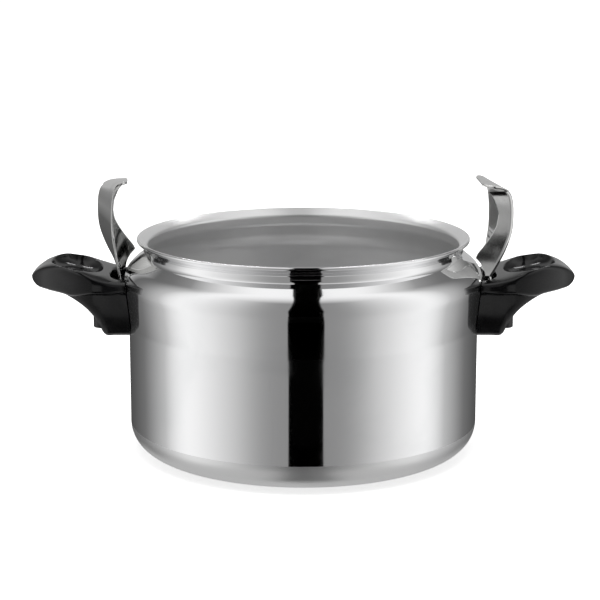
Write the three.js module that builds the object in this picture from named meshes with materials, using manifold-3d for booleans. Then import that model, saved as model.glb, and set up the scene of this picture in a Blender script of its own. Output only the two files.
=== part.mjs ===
// Stovetop pressure cooker pot: a drawn aluminium body with two side handles. Each handle is
// carried by a riveted steel bracket that also holds a hinged steel latch for the lid.
// Millimetres, +Z up, origin at the centre of the underside of the base.
import * as THREE from "three";
import { mergeVertices } from "three/addons/utils/BufferGeometryUtils.js";
import Module from "manifold-3d";

const wasm = await Module();
wasm.setup();

// Pot body
const POT_HEIGHT = 135; // base to the top of the lip
const WALL_RADIUS = 110; // outside of the straight lower wall
const WALL_THICKNESS = 2.5;
const BASE_THICKNESS = 3;
const BASE_CORNER = 17.6; // radius between the base and the wall
const SHOULDER_DROP = 28; // lip top down to the widest ring of the body
const FLARE_LENGTH = 25.4; // height over which the wall widens below that ring
const FLARE_GAIN = 2.9; // radius gained over that height
const SHOULDER_BEND = 16; // outer radius of the shoulder's bend
const SHOULDER_ANGLE = THREE.MathUtils.degToRad(50);
const NECK_INSET = 10; // neck radius below the straight wall's radius
const NECK_DROP = 7.7; // lip top down to the foot of the neck
const NECK_RISE = 2; // straight length of the neck
const LIP_REACH = 4.4; // lip's outer radius beyond the neck's
const LIP_THICKNESS = 2.4;
const LIP_ANGLE = THREE.MathUtils.degToRad(40); // slope of the flared lip

// Handle moulding; its outlines run outwards from the widest ring and up from its height
const HANDLE_TOP = [
  [-7, 2.4],
  [3, 3.4],
  [15, 6.8],
  [27, 11],
  [38, 13.2],
  [48, 11.2],
  [54, 8],
  [57.3, 5],
  [58.8, 2.2],
];
const HANDLE_UNDERSIDE = [
  [-7, -33],
  [4, -33],
  [10, -33],
  [12.1, -31.2],
  [14.3, -26.4],
  [18.2, -20.2],
  [24.4, -13.7],
  [34.9, -7.4],
  [47, -4.8],
  [54, -3.2],
  [57.3, -0.6],
  [58.8, 2.2],
];
const HANDLE_REACH = 58.8;
const HANDLE_CREASE = -2; // height of the line between the grip and the foot below it
const GRIP_HALF_WIDTH = 30;
const GRIP_ROOT_HALF_WIDTH = 25.5;
const GRIP_WIDEST = 17; // outward place of the widest section
const GRIP_DROP = 3.5; // how far the grip's rounded edge hangs below the crease
const GRIP_TAPER = [1.6, 0.55]; // powers that round the plan towards the nose
const CREASE_SHARE = 0.3; // least share of a section's height that lies below the crease
const NOSE_FLAT = 0.4; // the nose stops this short of a sharp edge
const SQUARE = 7; // superellipse powers of the sections
const ROUNDED = 3;
const FOOT_FADE = 25; // length over which the foot merges into the grip
const FOOT_SHARE = 0.68; // the foot's width there, as a share of the grip's
const THUMB_LENGTH = 33; // hollow in the top of the grip, along the handle
const THUMB_WIDTH = 48;
const THUMB_DEPTH = 8;
const THUMB_CENTRE = [29, 11.6];
const THUMB_TILT = THREE.MathUtils.degToRad(12);
const SLOT_OUT = 4.1; // slot's outer edge beyond the pin axis: the open latch leans on it
const SLOT_ROUND = 8; // length of the slot's rounded outer part
const MOULDING_WALL = 3; // plastic beside the bracket's pocket
const POCKET_CLEARANCE = 0.6; // round the bracket and the screw's parts in the pocket

// Steel bracket
const BRACKET_THICKNESS = 1.6;
const BRACKET_BOTTOM = -27.4;
const TONGUE_HEIGHT = -12.8; // underside of the tongue that takes the handle's screw
const TONGUE_HALF_WIDTH = 7.5;
const TONGUE_END = 5.2; // metal beyond the screw's axis
const EAR_RADIUS = 4;
const RIVET_RADIUS = 2.4;
const RIVET_HEAD_RADIUS = 4.2;
const RIVET_HEAD_RISE = 1.5;
const RIVET_HEIGHT = -19.4;
const RIVET_SPREAD = THREE.MathUtils.degToRad(5.5); // each rivet's angle from the handle's axis

// Latch and its hinge
const HINGE_OUT = 4.3; // pin axis beyond the widest ring
const HINGE_HEIGHT = -6;
const PIN_RADIUS = 1.6;
const PIN_CLEARANCE = 0.3;
const LATCH_WIDTH = 33;
const LATCH_THICKNESS = 1.5;
const LATCH_CLOSING = THREE.MathUtils.degToRad(8);
// Centre line of the strip from the knuckle to the hook's tip: outwards and up from the pin
// axis, and the strip's twist in degrees
const LATCH_LINE = [
  [-2.5, 2.6, 1.5],
  [-1.8, 9, 4],
  [1, 17.5, 9.5],
  [4, 26.5, 15.5],
  [6.7, 38, 20.5],
  [7.2, 49, 22],
  [6.5, 58, 22],
  [5, 63.2, 20],
  [1.6, 66.8, 15],
  [-7.2, 68.4, 5],
];
const HOOK_TILT = THREE.MathUtils.degToRad(3.5); // the hook's back corner stands higher
const HOOK_START = 60; // height above the pin where that tilt begins
const HOOK_CORNER = 6; // rounded corners at the hook's tip
const KNUCKLE_START = THREE.MathUtils.degToRad(95); // where the strip's rolled end stops
// The side web's depth towards the pot at heights above the pin
const WEB_DEPTHS = [
  [8, 16],
  [25, 16.5],
  [42, 10.5],
  [50, 9.5],
  [58, 11.5],
  [65, 13],
];
const RING_THICKNESS = 0.8;
const RING_RADIUS = 3.2;

// Handle screw, its washer and nut
const SCREW_OUT = 14.8;
const SCREW_RADIUS = 2;
const SCREW_HEAD_RADIUS = 3.5;
const SCREW_HEAD_RISE = 2.6;
const SCREW_SEAT = -26.4; // ceiling of the recess that the washer bears on
const BOSS_RADIUS = 5.4;
const BOSS_BOTTOM = -31;
const DRIVE_WIDTH = 1; // slot in the screw's head
const DRIVE_DEPTH = 1.2;
const SCREW_STAND = 1; // thread past the nut
const SCREW_CHAMFER = 0.5;
const WASHER_THICKNESS = 1;
const NUT_THICKNESS = 3.2;
const NUT_ACROSS_FLATS = 7;

// Fits
const GAP = 0.3; // between pieces that touch
const POT_GAP = 0.4; // between the pot's wall and what is mounted on it
const SLOT_GAP = 2.1; // beside the latch in the handle's slot
const EAR_GAP = 0.7; // between the latch and each ear
const SHOULDER_GAP = 0.6; // between the closed latch and the pot's shoulder

// Mesh fineness
const POT_SEGMENTS = 60;
const ROUND_SEGMENTS = 16;
const ARC_STEPS = 5;
const HANDLE_SECTION_POINTS = 40;
const LATCH_STEPS = 32;
const KNUCKLE_STEPS = 16;
const HANDLE_STATIONS = 26;
const SLOT_STEPS = 18;

const shoulderHeight = POT_HEIGHT - SHOULDER_DROP;
const flareStart = shoulderHeight - FLARE_LENGTH;
const bodyRadius = WALL_RADIUS + FLARE_GAIN;
const neckRadius = WALL_RADIUS - NECK_INSET;
const neckFoot = POT_HEIGHT - NECK_DROP;
const pinX = bodyRadius + HINGE_OUT;
const pinZ = shoulderHeight + HINGE_HEIGHT;
const screwX = bodyRadius + SCREW_OUT;
const pinHole = PIN_RADIUS + PIN_CLEARANCE;
const earInside = LATCH_WIDTH / 2 + EAR_GAP;
const earOutside = earInside + BRACKET_THICKNESS;
const ringInside = earOutside + GAP;
const ringOutside = ringInside + RING_THICKNESS;
const pinEnd = ringOutside + 0.5;
const pocketHalfWidth = pinEnd + POCKET_CLEARANCE;
const footHalfWidth = pocketHalfWidth + MOULDING_WALL;
const handleBack = bodyRadius + HANDLE_TOP[0][0];
const tongueLow = shoulderHeight + TONGUE_HEIGHT;
const tongueHigh = tongueLow + BRACKET_THICKNESS;
const screwEnd = tongueHigh + GAP + NUT_THICKNESS + SCREW_STAND;
const riveted = WALL_THICKNESS + POT_GAP + BRACKET_THICKNESS;

const aluminium = new THREE.MeshStandardMaterial({ color: 0xc8cacc, roughness: 0.18, metalness: 1 });
const bakelite = new THREE.MeshStandardMaterial({ color: 0x141415, roughness: 0.22, metalness: 0 });
const polishedSteel = new THREE.MeshStandardMaterial({ color: 0xc4c4c2, roughness: 0.14, metalness: 1 });
const platedSteel = new THREE.MeshStandardMaterial({ color: 0x9a9b9c, roughness: 0.4, metalness: 1 });

// A closed geometry as a solid that can be joined and cut.
function solid(geometry) {
  const bare = geometry.index ? geometry.toNonIndexed() : geometry.clone();
  bare.deleteAttribute("normal");
  bare.deleteAttribute("uv");
  const merged = mergeVertices(bare, 1e-4);
  const vertProperties = merged.attributes.position.array;
  const triVerts = new Uint32Array(merged.index.array);
  return new wasm.Manifold(new wasm.Mesh({ numProp: 3, vertProperties, triVerts }));
}

function geometryOf(shape) {
  const mesh = shape.getMesh();
  const geometry = new THREE.BufferGeometry();
  geometry.setAttribute("position", new THREE.BufferAttribute(mesh.vertProperties, 3));
  geometry.setIndex(new THREE.BufferAttribute(mesh.triVerts, 1));
  geometry.computeVertexNormals();
  return geometry;
}

// A profile of [radius, height] points turned about the vertical axis.
function turned(points, segments = ROUND_SEGMENTS) {
  const profile = points.map(([radius, height]) => new THREE.Vector2(radius, height));
  return new THREE.LatheGeometry(profile, segments).rotateX(Math.PI / 2);
}

// A round rod along +Z from one height to another.
function rod(radius, low, high, segments = ROUND_SEGMENTS) {
  const shape = new THREE.CylinderGeometry(radius, radius, high - low, segments);
  return shape.rotateX(Math.PI / 2).translate(0, 0, (low + high) / 2);
}

function box(low, high) {
  const [x, y, z] = [0, 1, 2].map((axis) => high[axis] - low[axis]);
  const middle = [0, 1, 2].map((axis) => (low[axis] + high[axis]) / 2);
  return new THREE.BoxGeometry(x, y, z).translate(...middle);
}

// A closed body through sections of equal point counts, with flat ends.
function loft(sections) {
  const count = sections[0].length;
  const positions = sections.flat().flatMap((point) => point.toArray());
  const index = [];
  for (let s = 0; s + 1 < sections.length; s++) {
    for (let i = 0; i < count; i++) {
      const a = s * count + i;
      const b = s * count + ((i + 1) % count);
      index.push(a, b, b + count, a, b + count, a + count);
    }
  }
  const last = (sections.length - 1) * count;
  for (let i = 1; i + 1 < count; i++) {
    index.push(0, i + 1, i);
    index.push(last, last + i, last + i + 1);
  }
  const geometry = new THREE.BufferGeometry();
  geometry.setAttribute("position", new THREE.Float32BufferAttribute(positions, 3));
  geometry.setIndex(index);
  return geometry;
}

function arc(x, z, radius, from, to, steps = ARC_STEPS) {
  const points = [];
  for (let i = 0; i <= steps; i++) {
    const angle = THREE.MathUtils.lerp(from, to, i / steps);
    points.push([x + radius * Math.cos(angle), z + radius * Math.sin(angle)]);
  }
  return points;
}

// The rounded bend from one point to another, pulled towards the corner between them.
function bend(from, corner, to, steps = 3) {
  const curve = new THREE.QuadraticBezierCurve(
    new THREE.Vector2(...from),
    new THREE.Vector2(...corner),
    new THREE.Vector2(...to),
  );
  return curve.getPoints(steps).map((point) => point.toArray());
}

// The body's outline from the base's edge up to the neck, moved inwards by an inset.
function bodyOutline(inset, floor) {
  const cornerX = WALL_RADIUS - BASE_CORNER;
  const corner = BASE_CORNER - inset;
  const shoulderX = bodyRadius - SHOULDER_BEND;
  const shoulder = SHOULDER_BEND - inset;
  const shoulderArc = arc(shoulderX, shoulderHeight, shoulder, 0, SHOULDER_ANGLE);
  const [leaveX, leaveZ] = shoulderArc.at(-1);
  const neckX = neckRadius - inset;
  const slope = Math.tan(Math.PI / 2 - SHOULDER_ANGLE);
  const meetZ = leaveZ + (leaveX - neckX) * slope;
  const softening = 1.6;
  return [
    ...arc(cornerX, floor + corner, corner, -Math.PI / 2, 0),
    [WALL_RADIUS - inset, flareStart],
    ...shoulderArc,
    ...bend([neckX + softening, meetZ - softening * slope], [neckX, meetZ], [neckX, meetZ + softening]),
  ];
}

function lipOutline() {
  const half = LIP_THICKNESS / 2;
  const edgeX = neckRadius + LIP_REACH - half;
  const edgeZ = POT_HEIGHT - half;
  const edge = arc(edgeX, edgeZ, half, LIP_ANGLE - Math.PI / 2, LIP_ANGLE + Math.PI / 2);
  const slope = Math.tan(LIP_ANGLE);
  const [underX, underZ] = edge[0];
  const [overX, overZ] = edge.at(-1);
  const boreX = neckRadius - WALL_THICKNESS;
  const outerMeet = underZ - (underX - neckRadius) * slope;
  const innerMeet = overZ - (overX - boreX) * slope;
  const softening = 1.2;
  return [
    ...bend([neckRadius, outerMeet - softening], [neckRadius, outerMeet],
      [neckRadius + softening, outerMeet + softening * slope]),
    ...edge,
    ...bend([boreX + softening, innerMeet + softening * slope], [boreX, innerMeet],
      [boreX, innerMeet - softening]),
  ];
}

// The solid that the pot's outside fills, grown by a gap: what is mounted on the pot is cut to it.
function potEnvelope(gap) {
  const outline = bodyOutline(-gap, -gap);
  const top = neckFoot + NECK_RISE;
  return solid(turned([[0, -gap], ...outline, [neckRadius + gap, top], [0, top]], POT_SEGMENTS));
}

// Places a solid made along +Z so that it points out of the wall at a rivet.
function atRivet(geometry, side) {
  const tilt = Math.atan(FLARE_GAIN / FLARE_LENGTH);
  const height = shoulderHeight + RIVET_HEIGHT;
  const radius = WALL_RADIUS + (height - flareStart) * Math.tan(tilt);
  geometry.rotateY(Math.PI / 2 + tilt);
  geometry.translate(radius, 0, height);
  return geometry.rotateZ(side * RIVET_SPREAD);
}

function potBody() {
  const outer = bodyOutline(0, 0);
  const inner = bodyOutline(WALL_THICKNESS, BASE_THICKNESS).reverse();
  let pot = solid(turned([[0, 0], ...outer, ...lipOutline(), ...inner, [0, BASE_THICKNESS]], POT_SEGMENTS));
  for (const turn of [0, Math.PI]) {
    for (const side of [-1, 1]) {
      const hole = atRivet(rod(RIVET_RADIUS + GAP, -2 * WALL_THICKNESS, WALL_THICKNESS), side).rotateZ(turn);
      pot = pot.subtract(solid(hole));
    }
  }
  return geometryOf(pot);
}

function heightOn(outline, x) {
  const after = Math.max(1, outline.findIndex(([place]) => place >= x));
  const [x0, z0] = outline[after - 1];
  const [x1, z1] = outline[after];
  return THREE.MathUtils.lerp(z0, z1, (x - x0) / (x1 - x0));
}

function smoothCurve(points) {
  return new THREE.CatmullRomCurve3(points.map((point) => new THREE.Vector3(...point)), false, "centripetal");
}

function smoothOutline(points) {
  const fineness = 12;
  const curve = smoothCurve(points.map(([x, z]) => [x, 0, z]));
  return curve.getPoints(fineness * points.length).map((point) => [point.x, point.z]);
}

// Distance from the centre of a superellipse to its edge, in one direction.
function superReach(cosine, sine, halfWidth, halfHeight, power) {
  const across = Math.abs(cosine / halfWidth) ** power;
  const up = Math.abs(sine / halfHeight) ** power;
  return (across + up) ** (-1 / power);
}

function gripHalfWidth(x) {
  if (x < GRIP_WIDEST) {
    const back = (GRIP_WIDEST - x) / (GRIP_WIDEST - HANDLE_TOP[0][0]);
    return GRIP_HALF_WIDTH - (GRIP_HALF_WIDTH - GRIP_ROOT_HALF_WIDTH) * back * back;
  }
  const along = (x - GRIP_WIDEST) / (HANDLE_REACH - GRIP_WIDEST);
  return GRIP_HALF_WIDTH * (1 - along ** GRIP_TAPER[0]) ** GRIP_TAPER[1];
}

// One section of the handle: the wide rounded grip joined with the squarer foot below it.
function handleSection(x, top, underside) {
  const high = heightOn(top, x);
  const low = heightOn(underside, x);
  const crease = Math.max(HANDLE_CREASE, low + CREASE_SHARE * (high - low));
  const wide = gripHalfWidth(x);
  const outboard = THREE.MathUtils.smoothstep(x, GRIP_WIDEST, GRIP_WIDEST + FOOT_FADE);
  const narrow = THREE.MathUtils.lerp(footHalfWidth, FOOT_SHARE * wide, outboard);
  const drop = THREE.MathUtils.lerp(GRIP_DROP, crease - low, outboard);
  const buried = Math.min(GRIP_DROP, (high - crease) / 2);
  const points = [];
  for (let i = 0; i < HANDLE_SECTION_POINTS; i++) {
    const angle = (2 * Math.PI * i) / HANDLE_SECTION_POINTS;
    const above = Math.sin(angle) > 0;
    const cosine = wide * Math.cos(angle);
    const sine = (above ? high - crease : crease - low) * Math.sin(angle);
    const grip = superReach(cosine, sine, wide, above ? high - crease : drop, above ? SQUARE : ROUNDED);
    const foot = superReach(cosine, sine, narrow, above ? buried : crease - low, SQUARE);
    const reach = Math.max(grip, foot);
    points.push(new THREE.Vector3(bodyRadius + x, reach * cosine, shoulderHeight + crease + reach * sine));
  }
  return points;
}

// The moulding before its hollows are cut; its sections are evenly spaced along the underside.
function handleBlank() {
  const top = smoothOutline(HANDLE_TOP);
  const underside = smoothOutline(HANDLE_UNDERSIDE);
  const stations = smoothCurve(HANDLE_UNDERSIDE.map(([x, z]) => [x, 0, z])).getSpacedPoints(HANDLE_STATIONS);
  const places = stations.map((point) => Math.min(point.x, HANDLE_REACH - NOSE_FLAT));
  return solid(loft(places.map((x) => handleSection(x, top, underside))));
}

// The thumb hollow: a flat-bottomed scoop with a rounded wall, wider than it is long.
function thumbScoop() {
  const flatFloor = 0.5;
  const corner = 0.95;
  const rim = 1.1;
  const wall = bend([flatFloor, -1], [corner, -corner], [1, 0], ARC_STEPS);
  const scoop = turned([[0, -1], ...wall, [rim, 1], [0, 1]]);
  scoop.scale(THUMB_LENGTH / 2, THUMB_WIDTH / 2, THUMB_DEPTH);
  scoop.rotateY(-THUMB_TILT);
  return solid(scoop.translate(bodyRadius + THUMB_CENTRE[0], 0, shoulderHeight + THUMB_CENTRE[1]));
}

// The slot in the handle's top that the latch stands in; the latch leans on its outer edge.
function latchSlot() {
  const halfWidth = LATCH_WIDTH / 2 + SLOT_GAP;
  const centre = pinX + SLOT_OUT - SLOT_ROUND;
  const outline = new THREE.Shape();
  outline.moveTo(handleBack, -halfWidth);
  for (let i = 0; i <= SLOT_STEPS; i++) {
    const angle = THREE.MathUtils.lerp(-Math.PI / 2, Math.PI / 2, i / SLOT_STEPS);
    const reach = superReach(Math.cos(angle), Math.sin(angle), SLOT_ROUND, halfWidth, ROUNDED);
    outline.lineTo(centre + reach * Math.cos(angle), reach * Math.sin(angle));
  }
  outline.lineTo(handleBack, halfWidth);
  const slot = new THREE.ExtrudeGeometry(outline, { depth: SHOULDER_DROP, bevelEnabled: false });
  return solid(slot.translate(0, 0, pinZ));
}

// The pocket in the handle's back for the bracket and the pin, with room for the tongue and nut.
function handlePocket() {
  const behind = handleBack - 1;
  const outer = pinX + EAR_RADIUS + POCKET_CLEARANCE;
  const floor = shoulderHeight + BRACKET_BOTTOM - POCKET_CLEARANCE;
  const ceiling = pinZ + EAR_RADIUS + GAP;
  const chamber = solid(box([behind, -pocketHalfWidth, floor], [outer, pocketHalfWidth, ceiling]));
  const tongueSide = TONGUE_HALF_WIDTH + POCKET_CLEARANCE;
  const tongueOut = screwX + TONGUE_END + GAP;
  const nutTop = screwEnd + POCKET_CLEARANCE;
  return chamber.add(solid(box([behind, -tongueSide, tongueLow - GAP], [tongueOut, tongueSide, nutTop])));
}

function handle() {
  const bossTop = (shoulderHeight + SCREW_SEAT + tongueLow) / 2;
  const boss = rod(BOSS_RADIUS, shoulderHeight + BOSS_BOTTOM, bossTop);
  const washerRecess = rod(SCREW_HEAD_RADIUS + POCKET_CLEARANCE, 0, shoulderHeight + SCREW_SEAT);
  const screwHole = rod(SCREW_RADIUS + GAP, 0, tongueLow);
  for (const geometry of [boss, washerRecess, screwHole]) {
    geometry.translate(screwX, 0, 0);
  }
  const shape = handleBlank()
    .add(solid(boss))
    .subtract(thumbScoop())
    .subtract(latchSlot())
    .subtract(handlePocket())
    .subtract(solid(washerRecess))
    .subtract(solid(screwHole))
    .subtract(potEnvelope(POT_GAP));
  return geometryOf(shape);
}

// The bracket: a plate bent to the wall, two ears for the latch's pin and a tongue for the screw.
function bracket() {
  const low = shoulderHeight + BRACKET_BOTTOM;
  const tongueRoot = bodyRadius - 2 * BRACKET_THICKNESS;
  const plate = potEnvelope(POT_GAP + BRACKET_THICKNESS)
    .intersect(solid(box([0, -earOutside, low], [2 * bodyRadius, earOutside, tongueHigh])));
  const tongue = box([tongueRoot, -TONGUE_HALF_WIDTH, tongueLow], [screwX, TONGUE_HALF_WIDTH, tongueHigh]);
  const tongueTip = rod(TONGUE_HALF_WIDTH, tongueLow, tongueHigh).scale(TONGUE_END / TONGUE_HALF_WIDTH, 1, 1);
  let shape = plate.add(solid(tongue)).add(solid(tongueTip.translate(screwX, 0, 0)));
  for (const side of [-1, 1]) {
    shape = shape.add(solid(ear(side)));
  }
  shape = shape.subtract(potEnvelope(POT_GAP));
  shape = shape.subtract(solid(rod(SCREW_RADIUS + GAP, 0, POT_HEIGHT).translate(screwX, 0, 0)));
  for (const side of [-1, 1]) {
    shape = shape.subtract(solid(atRivet(rod(RIVET_RADIUS + GAP, -riveted, 2 * riveted), side)));
  }
  return geometryOf(shape);
}

function ear(side) {
  const outline = new THREE.Shape();
  const foot = shoulderHeight + BRACKET_BOTTOM + EAR_RADIUS;
  const rootWidth = 3;
  const back = bodyRadius - rootWidth;
  outline.moveTo(back, foot);
  outline.lineTo(bodyRadius + rootWidth, foot);
  outline.absarc(pinX, pinZ, EAR_RADIUS, -Math.PI / 6, Math.PI / 2, false);
  outline.lineTo(back, pinZ + EAR_RADIUS);
  const hole = new THREE.Path();
  hole.absarc(pinX, pinZ, pinHole, 0, 2 * Math.PI, true);
  outline.holes.push(hole);
  const settings = { depth: BRACKET_THICKNESS, bevelEnabled: false, curveSegments: 2 * ARC_STEPS };
  const plate = new THREE.ExtrudeGeometry(outline, settings);
  plate.rotateX(Math.PI / 2);
  return plate.translate(0, side > 0 ? earOutside : -earInside, 0);
}

function rivet(side) {
  const under = POT_GAP + BRACKET_THICKNESS + GAP;
  const inside = -WALL_THICKNESS - GAP;
  const crown = inside - RIVET_HEAD_RISE;
  const profile = [
    [0, crown],
    ...bend([0.4 * RIVET_HEAD_RADIUS, crown], [RIVET_HEAD_RADIUS, crown], [RIVET_HEAD_RADIUS, inside]),
    [RIVET_RADIUS, inside],
    [RIVET_RADIUS, under],
    [0.9 * RIVET_HEAD_RADIUS, under],
    [0.75 * RIVET_HEAD_RADIUS, under + 0.8 * RIVET_HEAD_RISE],
    [0, under + RIVET_HEAD_RISE],
  ];
  return atRivet(turned(profile), side);
}

function hingePin() {
  const chamfer = 0.4;
  const profile = [
    [0, -pinEnd],
    [PIN_RADIUS - chamfer, -pinEnd],
    [PIN_RADIUS, -pinEnd + chamfer],
    [PIN_RADIUS, pinEnd - chamfer],
    [PIN_RADIUS - chamfer, pinEnd],
    [0, pinEnd],
  ];
  return turned(profile).rotateX(Math.PI / 2).translate(pinX, 0, pinZ);
}

function pinRing(side) {
  const profile = [
    [pinHole, ringInside],
    [RING_RADIUS, ringInside],
    [RING_RADIUS, ringOutside],
    [pinHole, ringOutside],
    [pinHole, ringInside],
  ];
  return turned(profile).rotateX((side * -Math.PI) / 2).translate(pinX, 0, pinZ);
}

// Stations along the strip: the rolled knuckle, then the line up to the hook's tip.
function latchStations() {
  const radius = pinHole + LATCH_THICKNESS / 2;
  const stations = [];
  for (let i = 0; i < KNUCKLE_STEPS; i++) {
    const angle = THREE.MathUtils.lerp(KNUCKLE_START, -Math.PI, i / KNUCKLE_STEPS);
    stations.push({ x: radius * Math.cos(angle), z: radius * Math.sin(angle), twist: 0, tilt: 0 });
  }
  const twistScale = 4; // degrees of twist that weigh as one millimetre in the curve's spacing
  const knots = [[-radius, 0, 0], ...LATCH_LINE];
  const line = smoothCurve(knots.map(([x, z, twist]) => [x, z, twist / twistScale]));
  for (let i = 0; i <= LATCH_STEPS; i++) {
    const point = line.getPoint(i / LATCH_STEPS);
    const tilt = HOOK_TILT * THREE.MathUtils.smoothstep(point.y, HOOK_START, LATCH_LINE.at(-1)[1]);
    stations.push({ x: point.x, z: point.y, twist: THREE.MathUtils.degToRad(twistScale * point.z), tilt });
  }
  return stations;
}

// A bar that follows the stations; each section is given by its limits across and through the strip.
function latchBar(stations, limits) {
  const sections = stations.map((station, i) => {
    const before = stations[Math.max(0, i - 1)];
    const after = stations[Math.min(stations.length - 1, i + 1)];
    const along = new THREE.Vector3(after.x - before.x, 0, after.z - before.z).normalize();
    const { twist, tilt } = station;
    const across = new THREE.Vector3(-Math.sin(twist), Math.cos(twist), tilt).normalize();
    const outward = new THREE.Vector3().crossVectors(across, along).normalize();
    const centre = new THREE.Vector3(pinX + station.x, 0, pinZ + station.z);
    const { left, right, inside, outside } = limits(station, i);
    const corner = (u, n) => centre.clone().addScaledVector(across, u).addScaledVector(outward, n);
    return [corner(left, inside), corner(left, outside), corner(right, outside), corner(right, inside)];
  });
  return loft(sections);
}

function latch() {
  const half = LATCH_THICKNESS / 2;
  const bluntest = 0.96; // keeps the tip's rounded corners from meeting in an edge
  const stations = latchStations();
  const tip = stations.at(-1);
  const strip = latchBar(stations, (station) => {
    const left = Math.hypot(tip.x - station.x, tip.z - station.z);
    const cut = Math.max(0, 1 - left / HOOK_CORNER);
    const width = LATCH_WIDTH / 2 - HOOK_CORNER * (1 - Math.sqrt(1 - Math.min(bluntest, cut) ** 2));
    return { left: -width, right: width, inside: -half, outside: half };
  });
  const pot = geometryOf(potEnvelope(SHOULDER_GAP));
  pot.translate(-pinX, 0, -pinZ).rotateY(LATCH_CLOSING).translate(pinX, 0, pinZ);
  return geometryOf(solid(strip).add(solid(sideWeb(stations)).subtract(solid(pot))));
}

// The web that stiffens the latch: it folds towards the pot from the strip's front edge.
function sideWeb(stations) {
  const low = WEB_DEPTHS[0][0];
  const high = WEB_DEPTHS.at(-1)[0];
  const edge = LATCH_WIDTH / 2;
  const sections = stations.filter(({ z }) => z > low && z < high).map(({ x, z, twist }) => {
    const depth = heightOn(WEB_DEPTHS, z);
    const outer = pinX + x + edge * Math.sin(twist);
    const front = -edge * Math.cos(twist);
    const back = front + LATCH_THICKNESS;
    return [[outer, front], [outer, back], [outer - depth, back], [outer - depth, front]]
      .map(([px, py]) => new THREE.Vector3(px, py, pinZ + z));
  });
  return loft(sections);
}

function handleScrew() {
  const seat = shoulderHeight + SCREW_SEAT - GAP - WASHER_THICKNESS - GAP;
  const headLow = seat - SCREW_HEAD_RISE;
  const crown = 0.55 * SCREW_HEAD_RADIUS;
  const profile = [
    [0, headLow],
    ...bend([crown, headLow], [SCREW_HEAD_RADIUS, headLow], [SCREW_HEAD_RADIUS, seat - SCREW_CHAMFER]),
    [SCREW_HEAD_RADIUS, seat],
    [SCREW_RADIUS, seat],
    [SCREW_RADIUS, screwEnd - SCREW_CHAMFER],
    [SCREW_RADIUS - SCREW_CHAMFER, screwEnd],
    [0, screwEnd],
  ];
  const reach = 2 * SCREW_HEAD_RADIUS;
  const drive = box([-reach, -DRIVE_WIDTH / 2, headLow - 1], [reach, DRIVE_WIDTH / 2, headLow + DRIVE_DEPTH]);
  return geometryOf(solid(turned(profile)).subtract(solid(drive))).translate(screwX, 0, 0);
}

function screwWasher() {
  const high = shoulderHeight + SCREW_SEAT - GAP;
  const low = high - WASHER_THICKNESS;
  const bore = SCREW_RADIUS + GAP;
  const rim = SCREW_HEAD_RADIUS + GAP;
  const profile = [[bore, low], [rim, low], [rim, high], [bore, high], [bore, low]];
  return turned(profile).translate(screwX, 0, 0);
}

function nut() {
  const low = tongueHigh + GAP;
  const high = low + NUT_THICKNESS;
  const hexagon = rod(NUT_ACROSS_FLATS / Math.sqrt(3), low, high, 6);
  const bore = rod(SCREW_RADIUS + GAP, low - 1, high + 1);
  return geometryOf(solid(hexagon).subtract(solid(bore))).translate(screwX, 0, 0);
}

const sidePieces = [
  ["handle", handle(), bakelite],
  ["bracket", bracket(), platedSteel],
  ["rivet_front", rivet(-1), aluminium],
  ["rivet_back", rivet(1), aluminium],
  ["latch", latch(), polishedSteel],
  ["hinge_pin", hingePin(), platedSteel],
  ["pin_ring_front", pinRing(-1), platedSteel],
  ["pin_ring_back", pinRing(1), platedSteel],
  ["handle_screw", handleScrew(), platedSteel],
  ["screw_washer", screwWasher(), platedSteel],
  ["handle_nut", nut(), platedSteel],
];

function named(name, geometry, material) {
  const mesh = new THREE.Mesh(geometry, material);
  mesh.name = name;
  return mesh;
}

const cooker = new THREE.Group();
cooker.add(named("pot_body", potBody(), aluminium));
for (const [side, turn] of [["right", 0], ["left", Math.PI]]) {
  const unit = new THREE.Group();
  unit.rotation.z = turn;
  for (const [piece, geometry, material] of sidePieces) {
    unit.add(named(`${side}_${piece}`, geometry, material));
  }
  cooker.add(unit);
}

export default cooker;
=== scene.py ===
"""A stovetop pressure cooker's pot with its two side handles and hinged lid latches, in metres, +Z up.

The sections follow the order in which the real cooker is put together: pot, rivets, brackets,
latches, hinge pins and rings, handles, screws with their washers and nuts.
"""

import bmesh
import bpy
import numpy as np
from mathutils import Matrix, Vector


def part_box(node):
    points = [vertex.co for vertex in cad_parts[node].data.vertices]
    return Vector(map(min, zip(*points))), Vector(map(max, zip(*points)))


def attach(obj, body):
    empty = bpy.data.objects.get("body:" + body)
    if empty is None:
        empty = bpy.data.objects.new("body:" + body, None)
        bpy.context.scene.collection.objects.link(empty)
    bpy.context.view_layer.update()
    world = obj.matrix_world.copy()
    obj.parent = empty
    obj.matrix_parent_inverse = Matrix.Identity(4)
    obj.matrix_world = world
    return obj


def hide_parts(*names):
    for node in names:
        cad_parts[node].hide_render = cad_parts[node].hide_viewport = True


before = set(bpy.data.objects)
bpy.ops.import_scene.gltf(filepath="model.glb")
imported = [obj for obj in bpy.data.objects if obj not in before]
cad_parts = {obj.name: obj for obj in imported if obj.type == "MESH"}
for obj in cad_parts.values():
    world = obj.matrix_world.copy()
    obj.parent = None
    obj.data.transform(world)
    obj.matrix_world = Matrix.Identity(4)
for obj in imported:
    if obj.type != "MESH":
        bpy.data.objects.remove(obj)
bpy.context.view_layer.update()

# ---------------------------------------------------------------------------------------------
# The room: a pale floor, a camera in front and a little above, and a studio tent as the world.
# The tent is brightest at its sides, dim behind, and has a black slit at the front.
# ---------------------------------------------------------------------------------------------
scene = bpy.context.scene
scene.view_settings.view_transform = "Standard"

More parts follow.
